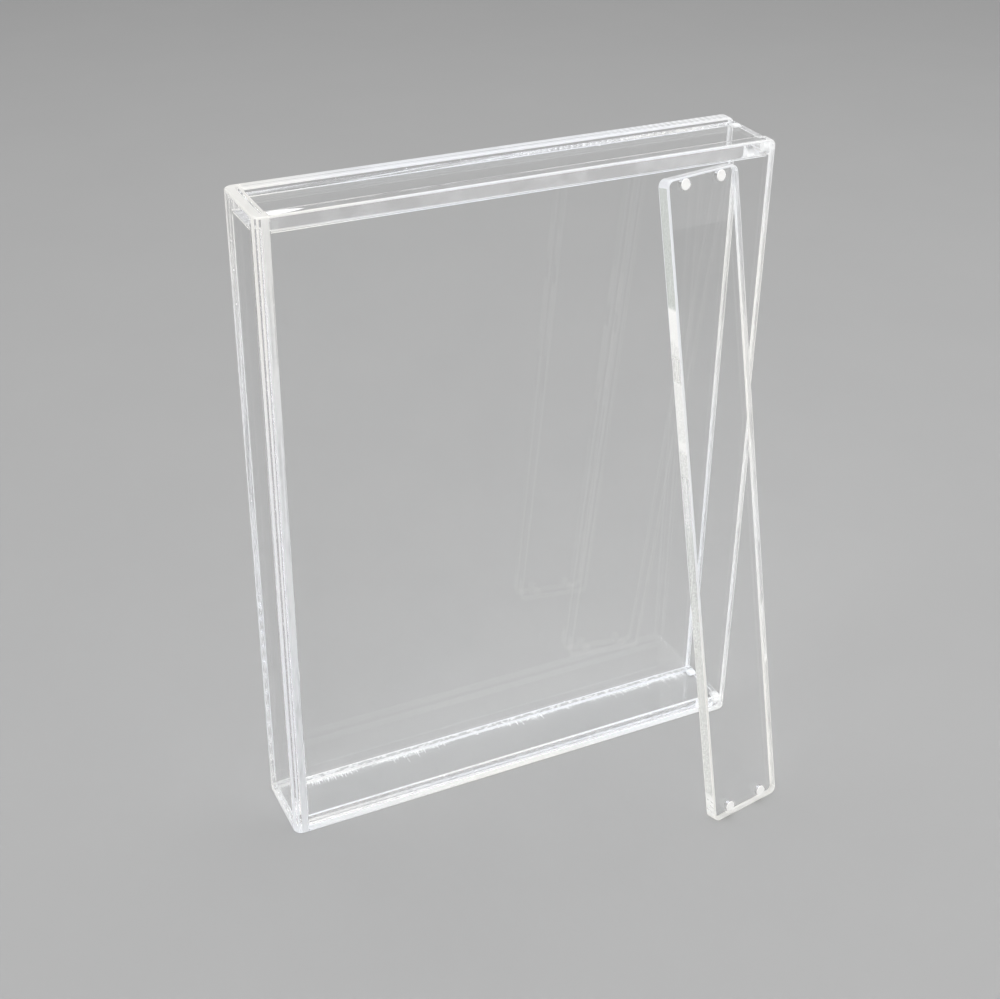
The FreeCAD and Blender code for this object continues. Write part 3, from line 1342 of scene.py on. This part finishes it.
@dataclass
class CementedSeams:
    """Cured cement of the case: air bubbles in the seams and a fine bead inside."""

    bubble_spacing: float = 0.9
    bubble_smallest: float = 0.05
    bubble_largest: float = 0.3
    bubble_scatter: float = 0.22
    bubble_seed: int = 11
    bead_radius: float = 0.1
    bead_gap: float = 0.03
    bead_step: float = 0.8
    bead_wander: float = 0.35

    def _lines(self) -> list[SeamLine]:
        """The seams of the case, with how much air each holds."""
        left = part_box("bottom_panel")[0].x / MM
        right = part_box("bottom_panel")[1].x / MM
        low, high = (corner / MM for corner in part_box("bottom_panel"))
        roof_low, roof_high = (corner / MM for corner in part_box("top_panel"))
        rim_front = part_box("front_panel")[0].y / MM
        rim_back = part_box("back_panel")[1].y / MM
        lines = []
        for y, shares in ((low.y, (0.06, 0.1, 0.06, 0.04)), (high.y, (0.1, 0.4, 0.06, 0.05))):
            for z, share in zip((low.z + 0.5, high.z, roof_low.z, roof_high.z), shares):
                lines.append(SeamLine((left + 1, y, z), (right - 1, y, z), share))
        for y, share in (((rim_front + low.y) / 2, 0.3), ((rim_back + high.y) / 2, 0.2)):
            lines.append(SeamLine((left, y, low.z + 1), (left, y, roof_high.z), share))
        for z in ((low.z + high.z) / 2, (roof_low.z + roof_high.z) / 2):
            lines.append(SeamLine((left, low.y, z), (left, high.y, z), 0.25))
        return lines

    def build_bubbles(self, finishes: Finishes) -> None:
        """Strew bubbles along the seams."""
        tree = GeometryTree("seam_bubbles")
        tree.add_input("Spacing", "NodeSocketFloat", self.bubble_spacing * MM)
        tree.add_input("Smallest", "NodeSocketFloat", self.bubble_smallest * MM)
        tree.add_input("Spread", "NodeSocketFloat", (self.bubble_largest - self.bubble_smallest) * MM)
        tree.add_input("Scatter", "NodeSocketFloat", self.bubble_scatter * MM)
        tree.add_input("Seed", "NodeSocketInt", self.bubble_seed)
        tree.add_input("Finish", "NodeSocketMaterial", finishes.air)
        start = tree.start()
        seed = start.outputs["Seed"]
        curve = tree.node(
            "GeometryNodeMeshToCurve", None, {"Mesh": start.outputs["Geometry"]}
        )
        spots = tree.node(
            "GeometryNodeCurveToPoints",
            {"mode": "LENGTH"},
            {"Curve": curve.outputs[0], "Length": start.outputs["Spacing"]},
        )
        stray = tree.node(
            "FunctionNodeRandomValue",
            {"data_type": "FLOAT_VECTOR"},
            {0: (-1.0, -1.0, -1.0), 1: (1.0, 1.0, 1.0), "Seed": seed},
        )
        offset = tree.node(
            "ShaderNodeVectorMath",
            {"operation": "SCALE"},
            {0: stray.outputs[0], "Scale": start.outputs["Scatter"]},
        )
        moved = tree.node(
            "GeometryNodeSetPosition",
            None,
            {"Geometry": spots.outputs["Points"], "Offset": offset.outputs[0]},
        )
        share = tree.node(
            "GeometryNodeInputNamedAttribute", {"data_type": "FLOAT"}, {"Name": "amount"}
        )
        draw = tree.node(
            "FunctionNodeRandomValue",
            {"data_type": "FLOAT"},
            {"Seed": tree.maths("ADD", seed, 5.0)},
        )
        too_many = tree.node(
            "FunctionNodeCompare",
            {"data_type": "FLOAT", "operation": "GREATER_THAN"},
            {0: draw.outputs[1], 1: share.outputs[0]},
        )
        kept = tree.node(
            "GeometryNodeDeleteGeometry",
            {"domain": "POINT"},
            {"Geometry": moved.outputs[0], "Selection": too_many.outputs[0]},
        )
        bulk = tree.node(
            "FunctionNodeRandomValue",
            {"data_type": "FLOAT"},
            {"Seed": tree.maths("ADD", seed, 9.0)},
        )
        mostly_small = tree.maths("POWER", bulk.outputs[1], 3.0)
        size = tree.maths(
            "ADD",
            start.outputs["Smallest"],
            tree.maths("MULTIPLY", mostly_small, start.outputs["Spread"]),
        )
        ball = tree.node(
            "GeometryNodeMeshUVSphere", None, {"Segments": 10, "Rings": 6, "Radius": 1.0}
        )
        placed = tree.node(
            "GeometryNodeInstanceOnPoints",
            None,
            {"Points": kept.outputs[0], "Instance": ball.outputs["Mesh"], "Scale": size},
        )
        mesh = tree.run(
            placed.outputs[0], start.outputs["Finish"], line_mesh(self._lines())
        )
        piece = add_object("case_seam_bubbles", mesh)
        dress(piece, "case", ())

    def _bead(self, start: tuple, end: tuple, lean: tuple, amount: float) -> SeamLine:
        """Line of a bead that lies clear of both sheets of its corner.

        Args:
            start: One end of the corner.
            end: The other end.
            lean: The direction out of the corner, as -1, 0 or 1 along each axis.
            amount: How thick the bead is.

        Returns:
            The line.
        """
        off = Vector(lean) * (self.bead_radius * amount + self.bead_gap)
        return SeamLine(tuple(Vector(start) + off), tuple(Vector(end) + off), amount)

    def _bead_lines(self) -> list[SeamLine]:
        """The inside corners of the bay and the foot of the top recess."""
        low, floor = (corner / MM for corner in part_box("bottom_panel"))
        roof, top = (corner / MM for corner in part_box("top_panel"))
        left, right = low.x, floor.x - 1
        lines = []
        for y, lean, floor_amount, roof_amount in (
            (low.y, 1, 1.0, 1.8),
            (floor.y, -1, 0.5, 0.5),
        ):
            ends = ((left + 1, y, floor.z), (right, y, floor.z))
            lines.append(self._bead(*ends, (0, lean, 1), floor_amount))
            ends = ((left + 1, y, roof.z), (right, y, roof.z))
            lines.append(self._bead(*ends, (0, lean, -1), roof_amount))
            ends = ((left, y, floor.z + 1), (left, y, roof.z - 1))
            lines.append(self._bead(*ends, (1, lean, 0), 1.0))
        for z, lean, amount in ((floor.z, 1, 1.0), (roof.z, -1, 1.4)):
            ends = ((left, low.y + 1, z), (left, floor.y - 1, z))
            lines.append(self._bead(*ends, (1, 0, lean), amount))
        ends = ((left + 0.3, low.y + 0.3, top.z), (left + 0.3, floor.y - 0.4, top.z))
        lines.append(self._bead(*ends, (0, 0, 1), 1.6))
        return lines

    def build_beads(self, finishes: Finishes) -> None:
        """Run a fine uneven bead of cement along the inside corners."""
        tree = GeometryTree("cement_bead")
        tree.add_input("Step", "NodeSocketFloat", self.bead_step * MM)
        tree.add_input("Thickness", "NodeSocketFloat", self.bead_radius * MM)
        tree.add_input("Wander", "NodeSocketFloat", self.bead_wander)
        tree.add_input("Finish", "NodeSocketMaterial", finishes.skins[Skin.BEVEL])
        start = tree.start()
        curve = tree.node(
            "GeometryNodeMeshToCurve", None, {"Mesh": start.outputs["Geometry"]}
        )
        fine = tree.node(
            "GeometryNodeResampleCurve",
            {"mode": "LENGTH"},
            {"Curve": curve.outputs[0], "Length": start.outputs["Step"]},
        )
        ripple = tree.node(
            "ShaderNodeTexNoise", None, {"Scale": 260.0, "Detail": 2.0}
        )
        swing = tree.maths("SUBTRACT", ripple.outputs[0], 0.5)
        share = tree.maths("MULTIPLY", swing, start.outputs["Wander"])
        amount = tree.node(
            "GeometryNodeInputNamedAttribute", {"data_type": "FLOAT"}, {"Name": "amount"}
        )
        uneven = tree.maths("SUBTRACT", 1.0 - self.bead_wander / 2, share)
        thick = tree.maths("MULTIPLY", uneven, amount.outputs[0])
        width = tree.node(
            "GeometryNodeSetCurveRadius",
            None,
            {"Curve": fine.outputs[0], "Radius": thick},
        )
        ring = tree.node(
            "GeometryNodeCurvePrimitiveCircle",
            None,
            {"Resolution": 8, "Radius": start.outputs["Thickness"]},
        )
        tube = tree.node(
            "GeometryNodeCurveToMesh",
            None,
            {
                "Curve": width.outputs[0],
                "Profile Curve": ring.outputs[0],
                "Fill Caps": True,
            },
        )
        mesh = tree.run(
            tube.outputs[0], start.outputs["Finish"], line_mesh(self._bead_lines())
        )
        piece = add_object("case_cement_bead", mesh)
        dress(piece, "case", ())


@dataclass
class CementSmears:
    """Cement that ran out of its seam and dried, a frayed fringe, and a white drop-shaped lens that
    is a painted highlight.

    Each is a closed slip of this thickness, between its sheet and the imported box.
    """

    fringe_step: float = 0.42
    fringe_reach: float = 4.4
    fringe_seed: int = 5
    haze_depth: float = 1.2
    lens_length: float = 9.0
    lens_width: float = 2.6
    lens_steps: int = 24
    thickness: float = 0.004
    gap: float = 0.003

    def _slip(
        self, grid: bmesh.types.BMesh, outline: list[tuple], foot: float, material: int = 0
    ) -> None:
        """Add a thin prism.

        Args:
            grid: The mesh that it joins.
            outline: Its corners seen from above, in millimetres.
            foot: Height of its underside.
            material: Number of its material.
        """
        low, high = (
            [grid.verts.new(Vector((x, y, height)) * MM) for x, y in outline]
            for height in (foot, foot + self.thickness)
        )
        faces = [grid.faces.new(low), grid.faces.new(high)]
        for i in range(len(outline)):
            j = (i + 1) % len(outline)
            faces.append(grid.faces.new((low[i], low[j], high[j], high[i])))
        for face in faces:
            face.material_index = material

    def _fringe(self, grid: bmesh.types.BMesh) -> None:
        """Tufts and a faint strip under the bottom sheet, along its rear seam."""
        low, high = (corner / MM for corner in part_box("bottom_panel"))
        noise = random.Random(self.fringe_seed)
        seam = high.y
        tufts_foot = low.z + self.gap + self.thickness
        place = low.x + 1
        tide = 0.5
        shore = []
        while place < high.x - 3:
            tide = min(1.0, max(0.1, tide + noise.uniform(-0.14, 0.14)))
            spread = noise.uniform(0.0, 1.0) ** 2
            reach = self.fringe_reach * (0.12 + 0.88 * tide * spread)
            lean = noise.uniform(-0.3, 0.3)
            half = self.fringe_step * noise.uniform(0.2, 0.45)
            tuft = [
                (place - half, seam),
                (place + half, seam),
                (place + half * 0.5 + lean, seam - reach),
                (place - half * 0.5 + lean, seam - reach),
            ]
            self._slip(grid, tuft, tufts_foot)
            shore.append((place, seam - self.haze_depth * (0.4 + tide)))
            place += self.fringe_step
        strip = [*shore, (shore[-1][0], seam), (shore[0][0], seam)]
        self._slip(grid, strip, low.z + self.gap, 1)

    def _lens(self, grid: bmesh.types.BMesh) -> None:
        """Long drop-shaped white lens on the top rim of the front sheet, beside the left sheet: a
        painted highlight.
        """
        low, high = (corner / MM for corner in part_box("front_panel"))
        middle = (low.y + high.y) / 2 - 0.2
        near, far = [], []
        for step in range(self.lens_steps):
            share = step / self.lens_steps
            half = self.lens_width / 2 * (1 - share**2.5) * min(1.0, 0.8 + share)
            across = low.x + 0.1 + self.lens_length * share
            near.append((across, middle - half))
            far.append((across, middle + half))
        tip = (low.x + 0.1 + self.lens_length, middle)
        foot = high.z - self.gap - self.thickness
        self._slip(grid, [*near, tip, *reversed(far)], foot, 2)

    def build(self, finishes: Finishes) -> None:
        """Make the fringe and the white lens of painted highlight as one piece."""
        grid = bmesh.new()
        self._fringe(grid)
        self._lens(grid)
        bmesh.ops.recalc_face_normals(grid, faces=grid.faces)
        mesh = bpy.data.meshes.new("case_cement_smears")
        grid.to_mesh(mesh)
        grid.free()
        for material in (finishes.dried, finishes.haze, finishes.rim_glint):
            mesh.materials.append(material)
        piece = add_object("case_cement_smears", mesh)
        dress(piece, "case", ())


# Studio


@dataclass
class Studio:
    """Pale floor, soft lamps, pale surroundings and the photograph's camera."""

    camera_place: tuple[float, float, float] = (-171.26, -347.77, 318.79)
    camera_azimuth: float = 25.978
    camera_dip: float = 30.783
    camera_roll: float = 0.754
    lens: float = 57.96
    sensor: float = 36.0
    floor_size: float = 6.0
    floor_drop: float = 0.05
    sky: tuple[tuple[float, float], ...] = (
        (0.0, 1.0),
        (0.2, 0.96),
        (0.38, 0.72),
        (0.68, 0.72),
        (0.9, 0.98),
    )
    sky_strength: float = 0.62

    def add_camera(self) -> None:
        """Set the camera at the photograph's place and angle."""
        azimuth = math.radians(self.camera_azimuth)
        dip = math.radians(self.camera_dip)
        roll = math.radians(self.camera_roll)
        ahead = Vector(
            (
                math.sin(azimuth) * math.cos(dip),
                math.cos(azimuth) * math.cos(dip),
                -math.sin(dip),
            )
        )
        right = ahead.cross(Vector((0, 0, 1))).normalized()
        up = right.cross(ahead)
        across = right * math.cos(roll) + up * math.sin(roll)
        rise = up * math.cos(roll) - right * math.sin(roll)
        data = bpy.data.cameras.new("view")
        data.sensor_fit = "HORIZONTAL"
        data.sensor_width = self.sensor
        data.lens = self.lens
        data.clip_start = 0.01
        camera = bpy.data.objects.new("view", data)
        pose = turned(across, rise, -ahead).to_4x4()
        pose.translation = Vector(self.camera_place) * MM
        camera.matrix_world = pose
        bpy.context.scene.collection.objects.link(camera)
        bpy.context.scene.camera = camera

    def add_floor(self) -> None:
        """Lay the floor just under the case."""
        grid = bmesh.new()
        bmesh.ops.create_grid(grid, x_segments=1, y_segments=1, size=self.floor_size / 2)
        mesh = bpy.data.meshes.new("floor")
        grid.to_mesh(mesh)
        grid.free()
        mesh.transform(Matrix.Translation((0, 0, -self.floor_drop * MM)))
        mesh.materials.append(PaleGround().build())
        add_object("floor", mesh)

    @staticmethod
    def add_lamp(
        name: str, place: tuple, aim: tuple, size: tuple[float, float], power: float
    ) -> None:
        """Add a soft rectangular lamp.

        Args:
            name: The lamp's name.
            place: Where it stands, in metres.
            aim: The point that it faces, in metres.
            size: Its two sides, in metres.
            power: Its power in watts.
        """
        data = bpy.data.lights.new(name, "AREA")
        data.shape = "RECTANGLE"
        data.size, data.size_y = size
        data.energy = power
        lamp = bpy.data.objects.new(name, data)
        lamp.location = place
        towards = Vector(aim) - Vector(place)
        lamp.rotation_euler = towards.to_track_quat("-Z", "Y").to_euler()
        lamp.visible_transmission = False
        bpy.context.scene.collection.objects.link(lamp)

    def add_sky(self) -> None:
        """Give the surroundings a pale light, a little less half way up."""
        world = bpy.data.worlds.new("surroundings")
        world.use_nodes = True
        world.cycles.sampling_method = "NONE"
        tree = world.node_tree
        background = tree.nodes["Background"]
        background.inputs["Strength"].default_value = self.sky_strength
        place = tree.nodes.new("ShaderNodeTexCoord")
        parts = tree.nodes.new("ShaderNodeSeparateXYZ")
        shades = tree.nodes.new("ShaderNodeValToRGB")
        ShaderTree.set_stops(shades, [(rise, (level,) * 3 + (1.0,)) for rise, level in self.sky])
        tree.links.new(place.outputs["Generated"], parts.inputs[0])
        tree.links.new(parts.outputs["Z"], shades.inputs[0])
        tree.links.new(shades.outputs[0], background.inputs["Color"])
        bpy.context.scene.world = world

    def build(self) -> None:
        """Make the whole studio."""
        self.add_camera()
        self.add_floor()
        self.add_sky()
        self.add_lamp("top_softbox", (0.2, 0.3, 1.2), (0, 0, 0.1), (1.2, 0.8), 7)
        self.add_lamp("left_softbox", (-1.0, -0.8, 0.6), (0, 0, 0.1), (0.7, 0.7), 10)
        self.add_lamp("right_softbox", (0.9, -0.9, 1.1), (0, 0, 0.1), (0.9, 0.7), 8)
        scene = bpy.context.scene
        scene.view_settings.view_transform = "Standard"
        scene.cycles.max_bounces = 40
        scene.cycles.glossy_bounces = 40
        scene.cycles.transmission_bounces = 40
        scene.cycles.transparent_max_bounces = 40


def main() -> None:
    """Build the studio and every piece of the object."""
    logging.basicConfig(level=logging.INFO, format="%(name)s: %(message)s")
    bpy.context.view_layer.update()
    Studio().build()
    finishes = Finishes()
    CaseBox().build(finishes)
    EndDoor().build(finishes)
    DiscMagnets("case", Vector((1, 0, 0))).build(finishes)
    # The door's magnets get the darker nickel copy, painted shade, on their sides.
    DiscMagnets("door", door_turn() @ Vector((0, -1, 0)), painted_shade_side=True).build(finishes)
    seams = CementedSeams()
    seams.build_bubbles(finishes)
    seams.build_beads(finishes)
    CementSmears().build(finishes)


if __name__ == "__main__":
    main()
